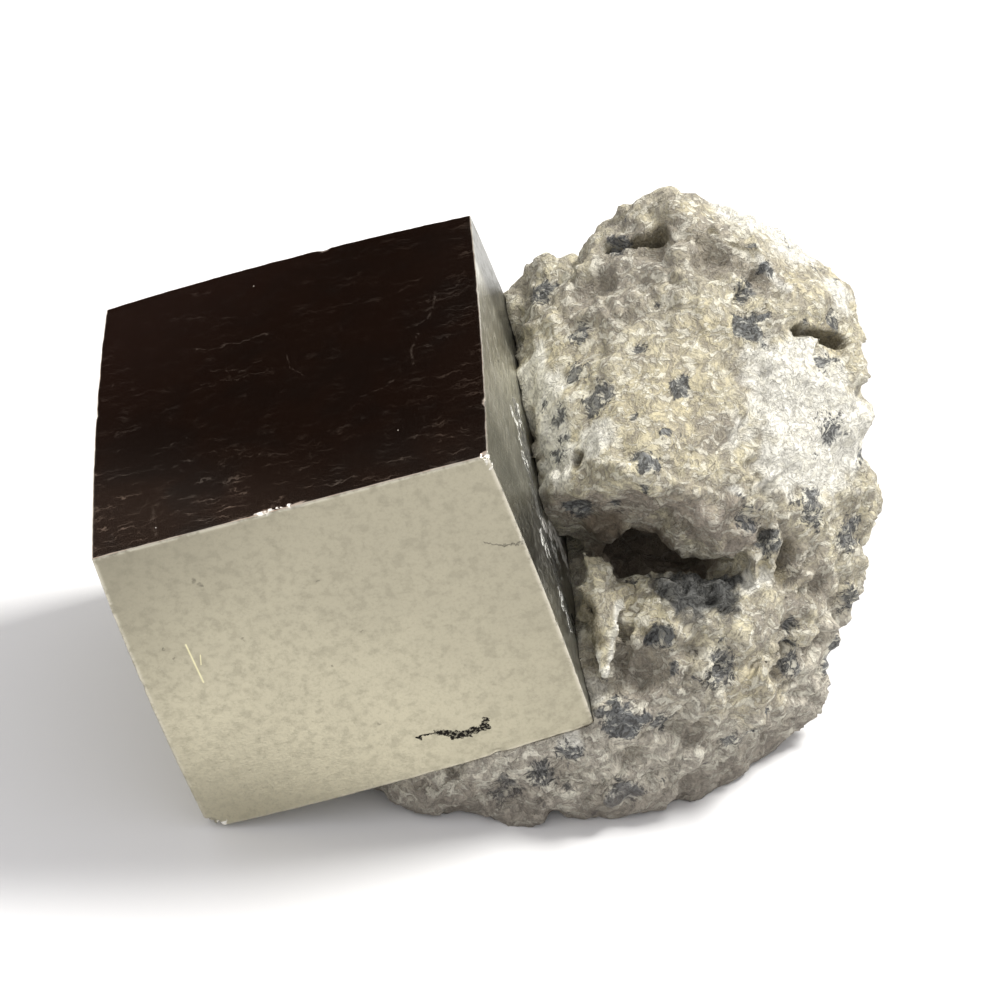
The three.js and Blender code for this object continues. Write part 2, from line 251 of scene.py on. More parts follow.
def read_points(mesh):
    """Places and outward normals of a mesh's points, as two arrays."""
    places = np.empty(len(mesh.vertices) * 3, np.float32)
    mesh.vertices.foreach_get("co", places)
    normals = np.empty(len(mesh.vertices) * 3, np.float32)
    mesh.vertex_normals.foreach_get("vector", normals)
    return places.reshape(-1, 3).astype(float), normals.reshape(-1, 3).astype(float)


def write_points(mesh, places):
    mesh.vertices.foreach_set("co", places.astype(np.float32).ravel())
    mesh.update()


def write_mask(mesh, name, values):
    layer = mesh.attributes.new(name, "FLOAT", "POINT")
    layer.data.foreach_set("value", np.clip(values, 0, 1).astype(np.float32))


def soft_step(value, start, end):
    """0 below start, 1 above end, and a smooth rise between them."""
    part = np.clip((value - start) / (end - start), 0, 1)
    return part * part * (3 - 2 * part)


def at_each(function, places, size):
    """A noise function's value at each place, with its pattern stretched to the given size."""
    return np.array([function(Vector(place)) for place in places / size])


def finish_piece(mesh, name, node, material):
    """Puts a carved mesh back into metres and stands it in for its CAD node."""
    mesh.transform(Matrix.Scale(MM, 4))
    mesh.shade_smooth()
    mesh.materials.clear()
    mesh.materials.append(material)
    piece = bpy.data.objects.new(name, mesh)
    bpy.context.scene.collection.objects.link(piece)
    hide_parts(node)
    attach(piece, "root")
    return piece


# ---- Crystal form -----------------------------------------------------------------------------


class Form:
    """The crystal's form. A place on it is also a unit place, from -1 to 1 along each of its axes."""

    def __init__(self, node):
        shape = merged_shape(node)
        corners = np.array([vertex.co[:] for vertex in shape.verts])
        shape.free()
        turn = Matrix.Rotation(CRYSTAL_TURN, 3, "Z") @ Matrix.Rotation(-CRYSTAL_LEAN, 3, "Y")
        self.centre = corners.mean(0)
        self.axes = np.array(turn.transposed())
        self.half = np.abs((corners - self.centre) @ self.axes.T).mean(0)

    def size(self, unit):
        """Half of the crystal's size along each axis, at each unit place."""
        held = np.clip(unit, -1, 1)
        x, y, z = (held * held).T
        bow = 1 + CRYSTAL_BOW * np.stack([1 - y * z, 1 - x * z, 1 - x * y], axis=1)
        taper = [WIDTH_TAPER * held[:, 2], DEPTH_TAPER * held[:, 0], HEIGHT_TAPER * held[:, 0]]
        return self.half * bow * (1 - np.stack(taper, axis=1) / 2)

    def world(self, unit):
        return (unit * self.size(unit)) @ self.axes + self.centre

    def unit(self, places):
        local = (places - self.centre) @ self.axes.T
        unit = local / self.half
        for _ in range(4):
            unit = local / self.size(unit)
        return unit

    def distance(self, places):
        """How far each place is outside the crystal, or inside it if below zero."""
        past = (np.abs(self.unit(places)) - 1) * self.half
        outside = np.linalg.norm(np.maximum(past, 0), axis=1)
        return outside + np.minimum(past.max(1), 0)

    def nearest(self, places, gap):
        """The nearest place to each on the crystal grown by a gap."""
        unit = self.unit(places)
        limit = 1 + gap / self.half
        held = np.clip(unit, -limit, limit)
        past = (np.abs(unit) - limit) * self.half
        rows = np.flatnonzero((past < 0).all(1))
        side = np.argmax(past, axis=1)[rows]
        held[rows, side] = np.sign(unit[rows, side]) * limit[side]
        return self.world(held)


form = Form("pyrite_crystal")

# ---- Carving tools ----------------------------------------------------------------------------


def push(places, centre, radii, shift):
    """Moves the places round a centre by up to the shift, fading out at the radii."""
    reach = np.linalg.norm((places - centre) / np.array(radii), axis=1)
    fade = np.clip(1 - reach * reach, 0, 1) ** 2
    places += fade[:, None] * np.array(shift)


def groove_depth(places, start, end, radius, depth):
    """Depth of a groove along a line, 0 away from it."""
    start, end = np.array(start, float), np.array(end, float)
    run = end - start
    part = np.clip((places - start) @ run / (run @ run), 0, 1)
    reach = np.linalg.norm(places - start - part[:, None] * run, axis=1) / radius
    return depth * np.clip(1 - reach * reach, 0, 1) ** 1.5


def chip_height(place):
    """Height of a broken surface: small flats, tilted each in its own way, with creases between."""
    distances, centres = noise.voronoi(place)
    tilt = noise.cell_vector(centres[0] * 17.3)
    inside = min(1.0, (distances[1] - distances[0]) / 0.22)
    return tilt.dot(place - centres[0]) * inside + 0.16 * (inside - 1)


def rough_height(place):
    return noise.fractal(place, 0.9, 2.1, 4)


def crust_height(place):
    """Height of a crumbly crust: rounded tops with sharp gaps between them."""
    return 1 - 2 * abs(noise.noise(place)) - abs(noise.noise(place * 2.3)) * 0.8


def patches(places, wander, zones, sharp):
    """Mask of the ragged patches round the zones' middles, 1 inside and 0 outside."""
    mask = np.zeros(len(places))
    for centre, radius in zones:
        reach = np.linalg.norm(places - centre, axis=1) / radius + 0.42 * wander
        mask = np.maximum(mask, 1 - soft_step(reach, 1 - sharp, 1 + sharp * 0.4))
    return mask


# ---- Shader tools -----------------------------------------------------------------------------


def node(tree, kind, sockets=None, **settings):
    """A shader node with its settings; sockets holds plain values or the outputs to link from."""
    made = tree.nodes.new(kind)
    for name, value in settings.items():
        setattr(made, name, value)
    for name, value in (sockets or {}).items():
        if isinstance(value, bpy.types.NodeSocket):
            tree.links.new(value, made.inputs[name])
        else:
            made.inputs[name].default_value = value
    return made


def maths(tree, operation, *values):
    made = node(tree, "ShaderNodeMath", dict(enumerate(values)), operation=operation)
    return made.outputs["Value"]


def vectors(tree, operation, output, *values):
    made = node(tree, "ShaderNodeVectorMath", dict(enumerate(values)), operation=operation)
    return made.outputs[output]


def ramp(tree, value, low, high, low_to=0.0, high_to=1.0):
    """A smooth rise from one value to another."""
    sockets = {"Value": value, "From Min": low, "From Max": high, "To Min": low_to, "To Max": high_to}
    made = node(tree, "ShaderNodeMapRange", sockets, interpolation_type="SMOOTHSTEP")
    return made.outputs["Result"]


def blend(tree, factor, first, second, mode="MIX"):
    """One colour laid over another where the factor is high."""
    colours = {
        name: (*value, 1) if isinstance(value, tuple) else value
        for name, value in (("A", first), ("B", second))
    }
    made = node(tree, "ShaderNodeMix", {}, data_type="RGBA", blend_type=mode)
    for name, value in (("Factor", factor), *colours.items()):
        if isinstance(value, bpy.types.NodeSocket):
            tree.links.new(value, made.inputs[name])
        else:
            made.inputs[name].default_value = value
    return made.outputs["Result"]


def mask_of(tree, name):
    return node(tree, "ShaderNodeAttribute", attribute_name=name).outputs["Fac"]


def new_group(name, inputs):
    """An empty node group with one Mask output, and its two end nodes."""
    tree = bpy.data.node_groups.new(name, "ShaderNodeTree")
    for label, kind in inputs:
        tree.interface.new_socket(label, in_out="INPUT", socket_type="NodeSocket" + kind)
    tree.interface.new_socket("Mask", in_out="OUTPUT", socket_type="NodeSocketFloat")
    start = tree.nodes.new("NodeGroupInput")
    end = tree.nodes.new("NodeGroupOutput")
    return tree, start.outputs, end.inputs


def build_mottle():
    """Soft patches of one size; Low and High set how much is covered and how sharply."""
    inputs = (("Place", "Vector"), ("Size", "Float"), ("Detail", "Float"), ("Swirl", "Float"),
              ("Low", "Float"), ("High", "Float"))
    tree, given, made = new_group("mottle", inputs)
    scale = maths(tree, "DIVIDE", 1.0, given["Size"])
    sockets = {"Vector": given["Place"], "Scale": scale, "Detail": given["Detail"],
               "Roughness": 0.6, "Distortion": given["Swirl"]}
    cloud = node(tree, "ShaderNodeTexNoise", sockets)
    mask = ramp(tree, cloud.outputs["Fac"], given["Low"], given["High"])
    tree.links.new(mask, made["Mask"])
    return tree


def build_stroke():
    """A soft line from Start to End, as wide as Width."""
    inputs = (("Place", "Vector"), ("Start", "Vector"), ("End", "Vector"), ("Width", "Float"))
    tree, given, made = new_group("stroke", inputs)
    run = vectors(tree, "SUBTRACT", "Vector", given["End"], given["Start"])
    away = vectors(tree, "SUBTRACT", "Vector", given["Place"], given["Start"])
    along = vectors(tree, "DOT_PRODUCT", "Value", away, run)
    length = vectors(tree, "DOT_PRODUCT", "Value", run, run)
    part = node(tree, "ShaderNodeMath", {0: along, 1: length}, operation="DIVIDE", use_clamp=True)
    foot = node(tree, "ShaderNodeVectorMath", {0: run, "Scale": part.outputs["Value"]},
                operation="SCALE")
    past = vectors(tree, "DISTANCE", "Value", away, foot.outputs["Vector"])
    mask = ramp(tree, past, given["Width"], 0.0)
    tree.links.new(mask, made["Mask"])
    return tree


MOTTLE = build_mottle()
STROKE = build_stroke()


def placed(tree, group, **sockets):
    """A node group placed in a material, with its own values."""
    made = node(tree, "ShaderNodeGroup", node_tree=group)
    for name, value in sockets.items():
        if isinstance(value, bpy.types.NodeSocket):
            tree.links.new(value, made.inputs[name])
        else:
            made.inputs[name].default_value = value
    return made.outputs["Mask"]


def stretched(tree, place, scale):
    """A place with its axes scaled, so that patterns on it come out drawn along one of them."""
    return vectors(tree, "MULTIPLY", "Vector", place, scale)


def new_material(name):
    material = bpy.data.materials.new(name)
    material.use_nodes = True
    return material, material.node_tree, material.node_tree.nodes["Principled BSDF"].inputs


# ---- Pyrite -----------------------------------------------------------------------------------

TOP_SCRATCHES = (  # lines on the crystal's upper face, along its width and depth
    ((-4.3, 5.1), (-1.1, 5.1), 0.07), ((-6.5, 5.7), (-4.2, 5.1), 0.05),
    ((-5.8, 1.3), (-0.8, 1.3), 0.07), ((-5.4, 1.7), (-3.0, 1.2), 0.06),
    ((-4.8, 2.9), (-2.4, 1.9), 0.06), ((-3.0, 2.0), (-1.6, 2.5), 0.05),
    ((0.0, 2.3), (0.2, 1.1), 0.06), ((0.2, 1.1), (1.1, -0.3), 0.05),
    ((9.4, 5.0), (9.1, 3.0), 0.13), ((9.1, 3.0), (8.8, 2.1), 0.13), ((8.8, 2.1), (7.5, 2.0), 0.11),
    ((8.2, 1.0), (7.7, -0.3), 0.14), ((7.7, -0.3), (7.8, -2.2), 0.12),
    ((6.6, -3.2), (5.3, -3.7), 0.12), ((5.3, -3.7), (4.5, -3.9), 0.09),
    ((-11.1, 3.4), (-11.0, 4.1), 0.07), ((-8.1, -9.8), (-8.25, -11.0), 0.18),
    ((-8.25, -11.0), (-7.9, -12.0), 0.20), ((-5.1, -5.3), (-2.3, -6.0), 0.06),
    ((-2.9, -6.9), (1.0, -7.7), 0.06),
)
FRONT_ETCHES = (  # the small etched mark near the front face's foot, along its width and height
    ((1.9, -7.95), (3.3, -7.85), 0.14), ((3.2, -7.95), (4.2, -8.3), 0.32),
    ((4.0, -8.5), (4.9, -8.65), 0.42), ((4.6, -8.45), (6.0, -8.55), 0.32),
    ((5.7, -8.5), (6.2, -7.9), 0.22),
)
FRONT_SPOTS = (  # small dark spots on the front face
    ((-6.5, 7.2), 0.20), ((-6.8, 7.6), 0.16), ((0.0, 5.3), 0.14), ((-5.5, 2.6), 0.16),
    ((1.2, 0.9), 0.11), ((-9.7, 2.6), 0.13), ((-10.1, 3.4), 0.12), ((-1.2, -1.0), 0.15),
    ((0.0, -6.1), 0.10), ((-8.4, -7.0), 0.09), ((10.9, 4.35), 0.10),
)
CHIPPED_EDGES = (  # nicks in the crystal's edges: unit place, reach, depth
    ((-0.12, -1.0, 1.0), 0.40, 0.10), ((0.06, -1.0, 1.0), 0.30, 0.10), ((0.02, -1.0, 1.0), 0.2, 0.06),
    ((0.99, -0.99, 1.0), 0.30, 0.14), ((1.0, -1.0, 0.42), 0.25, 0.10), ((-1.0, -1.0, -1.0), 0.9, 0.4),
    ((1.0, -0.6, 1.0), 0.3, 0.08), ((1.0, 0.32, 1.0), 0.3, 0.08), ((-0.26, -1.0, 1.0), 0.3, 0.05),
    ((0.5, -1.0, -1.0), 0.5, 0.08), ((0.2, 1.0, 1.0), 0.4, 0.10), ((-1.0, 0.1, 1.0), 0.3, 0.06),
    ((1.0, -1.0, -0.2), 0.3, 0.06), ((1.0, -1.0, -0.6), 0.25, 0.05), ((-1.0, -1.0, 0.1), 0.3, 0.07),
)


NICK_GLINTS = (  # painted glints where the edges are nicked
    ((-2.0, -12.6, 10.7), (0.1, -12.6, 10.7), 0.30), ((11.7, -12.3, 10.2), (11.8, -12.4, 9.7), 0.40),
    ((-11.7, -12.5, -10.4), (-11.4, -12.5, -10.6), 0.8), ((11.9, -12.5, 5.6), (11.9, -12.5, 3.8), 0.18),
    ((11.6, 11.0, 10.4), (11.6, 4.0, 10.4), 0.12), ((-2.0, 12.7, 10.7), (-1.6, 12.7, 10.7), 0.2),
)
SIDE_HIGHLIGHTS = (  # painted highlights: bright streaks on the right face, along its depth and height
    ((-0.6, 4.9), (-0.8, 3.8), 0.34), ((-0.9, 3.9), (-2.0, 3.2), 0.20), ((2.0, 3.2), (0.6, 2.5), 0.20),
    ((-2.3, 2.8), (-3.0, 1.8), 0.18), ((-6.4, 0.0), (-7.4, -1.4), 0.20),
    ((-4.2, -2.6), (-5.6, -4.6), 0.26), ((-8.0, -3.4), (-9.4, -5.6), 0.20),
)
SIDE_CHALK = (  # chalk left on the right face
    ((-2.2, -3.0), (-2.0, -4.4), 1.0), ((-2.0, -4.6), (-2.6, -7.0), 1.2),
    ((-2.8, -7.2), (-3.6, -8.8), 0.8), ((-4.6, -1.0), (-4.0, -2.4), 0.6),
)
SIDE_SHADE_MARKS = (  # painted shade: dark marks where the right face goes into the stone
    ((1.2, 3.6), (-0.6, 2.6), 0.9), ((-0.4, 2.2), (-2.6, 1.6), 1.1), ((-2.6, 1.8), (-4.4, 0.2), 1.2),
    ((-4.2, 0.0), (-6.4, -2.4), 1.0), ((-6.6, -2.6), (-8.8, -5.2), 0.8),
    ((-7.4, -6.6), (-8.6, -8.6), 1.0), ((-7.0, -9.2), (-7.2, -10.0), 0.8),
)



def shape_crystal(mesh):
    """Bends a fine cube into the crystal: closer cells at its edges, worn edges and nicks."""
    grid, _ = read_points(mesh)
    unit = 0.15 * grid + 0.85 * np.sin(grid * math.pi / 2)
    local = unit * form.half
    worn = 1 + 0.6 * at_each(noise.noise, local, 1.3) + 0.5 * at_each(noise.noise, local, 0.35)
    radius = (CRYSTAL_ROUND * np.clip(worn, 0.35, 2))[:, None]
    held = np.clip(local, radius - form.half, form.half - radius)
    past = local - held
    local = held + past / np.linalg.norm(past, axis=1)[:, None] * radius
    for middle, reach, depth in CHIPPED_EDGES:
        away = np.linalg.norm(local - np.array(middle) * form.half, axis=1)
        rough = 0.8 + 0.6 * at_each(noise.noise, local[away < reach], 0.18)
        fade = np.clip(1 - (away[away < reach] / reach) ** 2, 0, 1)
        inward = -np.sign(np.array(middle)) * (np.abs(np.array(middle)) > 0.9)
        local[away < reach] += inward * (depth * fade * rough)[:, None]
    places = form.world(local / form.half)
    places[:, 2] = np.maximum(places[:, 2], 0)
    write_points(mesh, places)
    side = np.argmax(np.abs(unit), axis=1)
    rows = np.arange(len(unit))
    high = unit[rows, side] > 0
    write_mask(mesh, "top_face", (side == 2) & high)
    write_mask(mesh, "front_face", (side == 1) & ~high)
    write_mask(mesh, "right_face", (side == 0) & high)
    edge = np.sort(np.abs(unit), axis=1)[:, 1]
    write_mask(mesh, "edge", soft_step((1 - edge) * form.half.mean(), 0.30, 0.02))


def crystal_place(tree):
    """The place in millimetres along the crystal's own width, depth and height."""
    turn = Matrix(form.axes.tolist())
    shift = -(turn @ Vector(form.centre))
    sockets = {
        "Vector": node(tree, "ShaderNodeTexCoord").outputs["Object"],
        "Location": shift,
        "Rotation": turn.to_euler(),
        "Scale": (1 / MM,) * 3,
    }
    return node(tree, "ShaderNodeMapping", sockets).outputs["Vector"]


def gathered(tree, masks):
    """The strongest of several masks."""
    total = masks[0]
    for mask in masks[1:]:
        total = maths(tree, "MAXIMUM", total, mask)
    return total


def split(tree, place):
    parts = node(tree, "ShaderNodeSeparateXYZ", {"Vector": place}).outputs
    return parts["X"], parts["Y"], parts["Z"]


def top_finish(tree, place):
    """Masks of the upper face's scratches, fine streaks and bright specks, and of its worn part."""
    wander = placed(tree, MOTTLE, Place=place, Size=0.8, Detail=2.0, Swirl=0.0, Low=0.2, High=0.8)
    shift = node(tree, "ShaderNodeCombineXYZ", {"Y": maths(tree, "MULTIPLY", wander, 0.6)})
    bent = vectors(tree, "ADD", "Vector", place, shift.outputs["Vector"])
    flat = stretched(tree, bent, (1, 1, 0))
    lines = [
        placed(tree, STROKE, Place=flat, Start=(x0, y0 + 0.3, 0), End=(x1, y1 + 0.3, 0), Width=width)
        for (x0, y0), (x1, y1), width in TOP_SCRATCHES
    ]
    broken = placed(tree, MOTTLE, Place=place, Size=0.4, Detail=3.0, Swirl=0.5, Low=0.40, High=0.58)
    drawn = maths(tree, "MULTIPLY", gathered(tree, lines), broken)
    fine = placed(tree, MOTTLE, Place=stretched(tree, bent, (0.16, 1.5, 1)), Size=0.34,
                  Detail=3.0, Swirl=0.0, Low=0.56, High=0.74)
    x, y, _ = split(tree, place)
    corner = maths(tree, "ADD", maths(tree, "MULTIPLY", x, 0.55), y)
    front = maths(tree, "MAXIMUM", ramp(tree, corner, -4.0, -15.0),
                  ramp(tree, y, -5.0, -12.8, 0, 0.6))
    worn = maths(tree, "MAXIMUM", front, ramp(tree, x, 6.0, 12.0, 0, 0.25))
    streaks = maths(tree, "MULTIPLY", fine, maths(tree, "ADD", worn, 0.12))
    specks = node(tree, "ShaderNodeTexVoronoi", {"Vector": place, "Scale": 0.55}).outputs
    pick = node(tree, "ShaderNodeSeparateColor", {"Color": specks["Color"]}).outputs["Red"]
    dots = maths(tree, "LESS_THAN", specks["Distance"], ramp(tree, pick, 0.3, 1.0, 0.0, 0.045))
    return drawn, streaks, dots, worn


def front_marks(tree, place):
    """Masks of the front face's etched mark and dark spots, its bright line and its crack."""
    ragged = placed(tree, MOTTLE, Place=place, Size=0.30, Detail=3.0, Swirl=0.0, Low=0.2, High=0.8)
    drift = placed(tree, MOTTLE, Place=stretched(tree, place, (1, 1, -1)), Size=0.36, Detail=3.0,
                   Swirl=0.0, Low=0.2, High=0.8)
    flat = stretched(tree, place, (1, 0, 1))
    jitter = node(tree, "ShaderNodeCombineXYZ", {"X": ragged, "Z": drift}).outputs["Vector"]
    centred = vectors(tree, "SUBTRACT", "Vector", jitter, (0.5, 0, 0.5))
    bent = vectors(tree, "MULTIPLY_ADD", "Vector", centred, (0.3, 0, 0.36), flat)
    etched = gathered(tree, [
        placed(tree, STROKE, Place=bent, Start=(x0, 0, z0), End=(x1, 0, z1), Width=width)
        for (x0, z0), (x1, z1), width in FRONT_ETCHES
    ])
    holes = placed(tree, MOTTLE, Place=place, Size=0.2, Detail=2.0, Swirl=0.0, Low=0.60, High=0.52)
    etched = maths(tree, "MULTIPLY", ramp(tree, etched, 0.15, 0.4), ramp(tree, holes, 0, 1, 0.45, 1))
    spots = gathered(tree, [
        placed(tree, STROKE, Place=bent, Start=(x, 0, z), End=(x + 0.02, 0, z), Width=width)
        for (x, z), width in FRONT_SPOTS
    ])
    bright = gathered(tree, [
        placed(tree, STROKE, Place=flat, Start=(-8.75, 0, 3.3), End=(-8.7, 0, 0.3), Width=0.09),
        placed(tree, STROKE, Place=flat, Start=(-8.2, 0, 2.3), End=(-8.4, 0, 1.6), Width=0.06),
    ])
    crack = gathered(tree, [
        placed(tree, STROKE, Place=bent, Start=(9.9, 0, 4.75), End=(11.0, 0, 4.25), Width=0.10),
        placed(tree, STROKE, Place=bent, Start=(11.0, 0, 4.25), End=(12.0, 0, 4.05), Width=0.12),
    ])
    return etched, spots, bright, crack


def pyrite_colour(tree, place, right, top):
    """Pale brassy grey: darker high on the front and stained at its upper left, lighter towards its foot as
    painted light; a brushed side with painted shade; a browner top.
    """
    x, y, z = split(tree, place)
    clouds = placed(tree, MOTTLE, Place=place, Size=4.5, Detail=3.0, Swirl=0.3, Low=0.38, High=0.66)
    stains = placed(tree, MOTTLE, Place=place, Size=0.62, Detail=5.0, Swirl=0.0, Low=0.42, High=0.68)
    freckles = placed(tree, MOTTLE, Place=place, Size=0.2, Detail=3.0, Swirl=0.0, Low=0.46, High=0.72)
    # painted light: the front is lighter towards its foot and darker high up
    height = maths(tree, "ADD", z, maths(tree, "MULTIPLY", x, 0.45))
    upper = ramp(tree, maths(tree, "ADD", height, maths(tree, "MULTIPLY", clouds, 2.0)), -17.0, 11.0)
    colour = blend(tree, upper, (0.610, 0.568, 0.424), (0.372, 0.345, 0.262))
    # darker towards the upper left, where the front is stained, and a little towards the lower right
    corner = ramp(tree, maths(tree, "SUBTRACT", z, x), 6.0, 24.0)
    colour = tinted(tree, colour, corner, 0.58, (0.190, 0.176, 0.133))
    corner = ramp(tree, maths(tree, "SUBTRACT", x, z), 4.0, 24.0)
    colour = tinted(tree, colour, corner, 0.28, (0.200, 0.185, 0.140))
    colour = tinted(tree, colour, stains, 0.22, (0.235, 0.220, 0.168))
    colour = tinted(tree, colour, freckles, 0.22, (0.225, 0.212, 0.160))
    brushed = placed(tree, MOTTLE, Place=stretched(tree, place, (1, 0.2, 2.4)), Size=0.5,
                     Detail=4.0, Swirl=0.0, Low=0.3, High=0.7)
    side = blend(tree, brushed, (0.46, 0.455, 0.40), (0.84, 0.825, 0.735))
    # painted shade on the right face: darker towards its back, its front and its foot
    side = tinted(tree, side, ramp(tree, y, 6.2, 8.6), 0.9, (0.185, 0.185, 0.165))
    side = tinted(tree, side, ramp(tree, y, 2.0, -3.0), 0.40, (0.20, 0.20, 0.18))
    low = maths(tree, "MULTIPLY", ramp(tree, z, 4.5, 0.5), ramp(tree, y, -8.5, -4.0, 0.35, 1.0))
    low = maths(tree, "MULTIPLY", low, ramp(tree, stains, 0, 1, 0.5, 1))
    side = tinted(tree, side, low, 1.0, (0.33, 0.33, 0.295))
    # painted shadow of the stone on the right face's front part
    corner = maths(tree, "MULTIPLY", ramp(tree, y, -5.5, -8.5), ramp(tree, z, 0.6, 2.6))
    side = tinted(tree, side, corner, 0.8, (0.17, 0.17, 0.14))
    colour = blend(tree, right, colour, side)
    tarnish = blend(tree, clouds, (0.56, 0.41, 0.31), (0.48, 0.40, 0.33))
    # the top is brighter and pinker towards its back left
    back_left_tint = ramp(tree, maths(tree, "SUBTRACT", y, x), 4.0, 22.0)
    tarnish = tinted(tree, tarnish, back_left_tint, 0.7, (0.98, 0.74, 0.62))
    return blend(tree, top, colour, tarnish), stains, brushed


def side_marks(tree, place):
    """Masks of the painted highlights along the right face, its chalk, and the painted shade where it goes
    into the stone.
    """
    ragged = placed(tree, MOTTLE, Place=place, Size=0.7, Detail=4.0, Swirl=0.0, Low=0.2, High=0.8)
    shift = node(tree, "ShaderNodeCombineXYZ", {"Y": ragged, "Z": ragged}).outputs["Vector"]
    centred = vectors(tree, "SUBTRACT", "Vector", shift, (0, 0.5, 0.5))
    flat = stretched(tree, place, (0, 1, 1))
    bent = vectors(tree, "MULTIPLY_ADD", "Vector", centred, (0, 1.8, -1.8), flat)
    found = []
    for lines in (SIDE_HIGHLIGHTS, SIDE_CHALK, SIDE_SHADE_MARKS):
        found.append(gathered(tree, [
            placed(tree, STROKE, Place=bent, Start=(0, y0, z0), End=(0, y1, z1), Width=width)
            for (y0, z0), (y1, z1), width in lines
        ]))
    holes = placed(tree, MOTTLE, Place=place, Size=0.5, Detail=4.0, Swirl=0.0, Low=0.34, High=0.50)
    streaks, chalk, stains = [ramp(tree, mask, 0.05, 0.45) for mask in found]
    return streaks, maths(tree, "MULTIPLY", chalk, holes), maths(tree, "MULTIPLY", stains, holes)


def pyrite_material():
    """Bright pyrite with a smooth scratched top, a satin stained front and brushed sides."""
    material, tree, shader = new_material("pyrite")
    place = crystal_place(tree)
    top = mask_of(tree, "top_face")
    front = mask_of(tree, "front_face")
    right = mask_of(tree, "right_face")
    drawn, streaks, dots, worn = top_finish(tree, place)
    etched, spots, bright, crack = front_marks(tree, place)
    colour, stains, brushed = pyrite_colour(tree, place, right, top)
    side_highlights, chalk_side, side_shade = [
        maths(tree, "MULTIPLY", right, mask) for mask in side_marks(tree, place)
    ]

    crumbs = placed(tree, MOTTLE, Place=place, Size=0.28, Detail=2.0, Swirl=0.0, Low=0.50, High=0.60)
    # painted glints on the nicked edges
    nicks = gathered(tree, [
        placed(tree, STROKE, Place=place, Start=start, End=end, Width=width)
        for start, end, width in NICK_GLINTS
    ])
    nicks = maths(tree, "MULTIPLY", ramp(tree, nicks, 0.1, 0.4), crumbs)
    lines = maths(tree, "MULTIPLY", maths(tree, "MULTIPLY", top, drawn), 0.45)
    specks = maths(tree, "MULTIPLY", top, dots)
    dark = gathered(tree, [etched, maths(tree, "MULTIPLY", spots, 0.4),
                           maths(tree, "MULTIPLY", crack, 0.55)])
    marks = maths(tree, "MULTIPLY", front, dark)
    gleam = maths(tree, "MULTIPLY", maths(tree, "MULTIPLY", front, bright), 0.8)
    colour = blend(tree, lines, colour, (0.40, 0.33, 0.27))
    # painted glints, near-white, on the nicked edges
    colour = tinted(tree, colour, nicks, 0.9, (0.92, 0.90, 0.84))
    # painted shade where the right face goes into the stone
    colour = tinted(tree, colour, side_shade, 0.85, (0.024, 0.023, 0.020))
    # painted highlights: bright matte streaks on the right face
    colour = tinted(tree, colour, side_highlights, 0.85, (0.90, 0.90, 0.84))
    colour = tinted(tree, colour, chalk_side, 0.9, (0.86, 0.84, 0.78))
    colour = blend(tree, specks, colour, (0.75, 0.70, 0.62))
    colour = blend(tree, gleam, colour, (0.85, 0.80, 0.50))
    colour = blend(tree, marks, colour, (0.018, 0.016, 0.014))
    rim = maths(tree, "MULTIPLY", mask_of(tree, "edge"), ramp(tree, stains, 0, 1, 0.6, 0.1))
    colour = blend(tree, rim, colour, (0.72, 0.68, 0.57))
    tree.links.new(colour, shader["Base Color"])

    dull = maths(tree, "MULTIPLY", maths(tree, "MULTIPLY", top, streaks), 0.13)
    scratched = maths(tree, "MULTIPLY", lines, 0.13)
    matte = gathered(tree, [scratched, maths(tree, "MULTIPLY", specks, 0.5), marks, dull,
                            chalk_side, nicks, side_highlights, side_shade])
    tree.links.new(maths(tree, "SUBTRACT", 1.0, matte), shader["Metallic"])
    shader["Specular IOR Level"].default_value = 0

    satin = ramp(tree, stains, 0, 1, 0.30, 0.44)
    smooth = maths(tree, "ADD", 0.12, maths(tree, "MULTIPLY", worn, 0.10))
    gloss = node(tree, "ShaderNodeMix", {"Factor": top, "A": satin, "B": smooth}).outputs["Result"]
    rough = gathered(tree, [marks, specks, side_shade, chalk_side, side_highlights])
    gloss = maths(tree, "MAXIMUM", gloss, maths(tree, "MULTIPLY", rough, 0.95))
    tree.links.new(gloss, shader["Roughness"])

    grain = placed(tree, MOTTLE, Place=place, Size=0.16, Detail=3.0, Swirl=0.0, Low=0.2, High=0.8)
    wave = placed(tree, MOTTLE, Place=stretched(tree, place, (0.25, 1.2, 1)), Size=0.8,
                  Detail=3.0, Swirl=0.0, Low=0.2, High=0.8)
    duller = maths(tree, "SUBTRACT", 1.0, maths(tree, "MULTIPLY", top, 0.85))
    relief = maths(tree, "MULTIPLY", grain, duller)
    relief = maths(tree, "ADD", relief, maths(tree, "MULTIPLY", wave, 0.8))
    relief = maths(tree, "ADD", relief, maths(tree, "MULTIPLY", brushed, right))
    relief = maths(tree, "SUBTRACT", relief, maths(tree, "MULTIPLY", marks, 2.0))
    bump = node(tree, "ShaderNodeBump", {"Height": relief, "Strength": 0.35, "Distance": 0.03 * MM})
    tree.links.new(bump.outputs["Normal"], shader["Normal"])
    return material


def make_crystal():
    shape = bmesh.new()
    bmesh.ops.create_cube(shape, size=2)
    bmesh.ops.subdivide_edges(shape, edges=shape.edges, cuts=CRYSTAL_CUTS, use_grid_fill=True)
    mesh = made_mesh(shape, "pyrite_crystal_surface")
    shape_crystal(mesh)
    return finish_piece(mesh, "crystal", "pyrite_crystal", pyrite_material())


# ---- Marl -------------------------------------------------------------------------------------


def add_lumps(shape):
    """Knobs and grains stuck into the stone, the thin splinter and the tooth."""
    for centre, radius in LUMPS:
        lump = bmesh.ops.create_icosphere(shape, subdivisions=2, radius=radius)["verts"]
        for vertex in lump:
            vertex.co *= 1 + 0.5 * noise.noise(vertex.co * 1.1 + Vector(centre))
        bmesh.ops.translate(shape, verts=lump, vec=centre)
    for block in (SPLINTER, TOOTH):
        corners = [bmesh.ops.create_vert(shape, co=corner)["vert"][0] for corner in block]
        bmesh.ops.convex_hull(shape, input=corners)


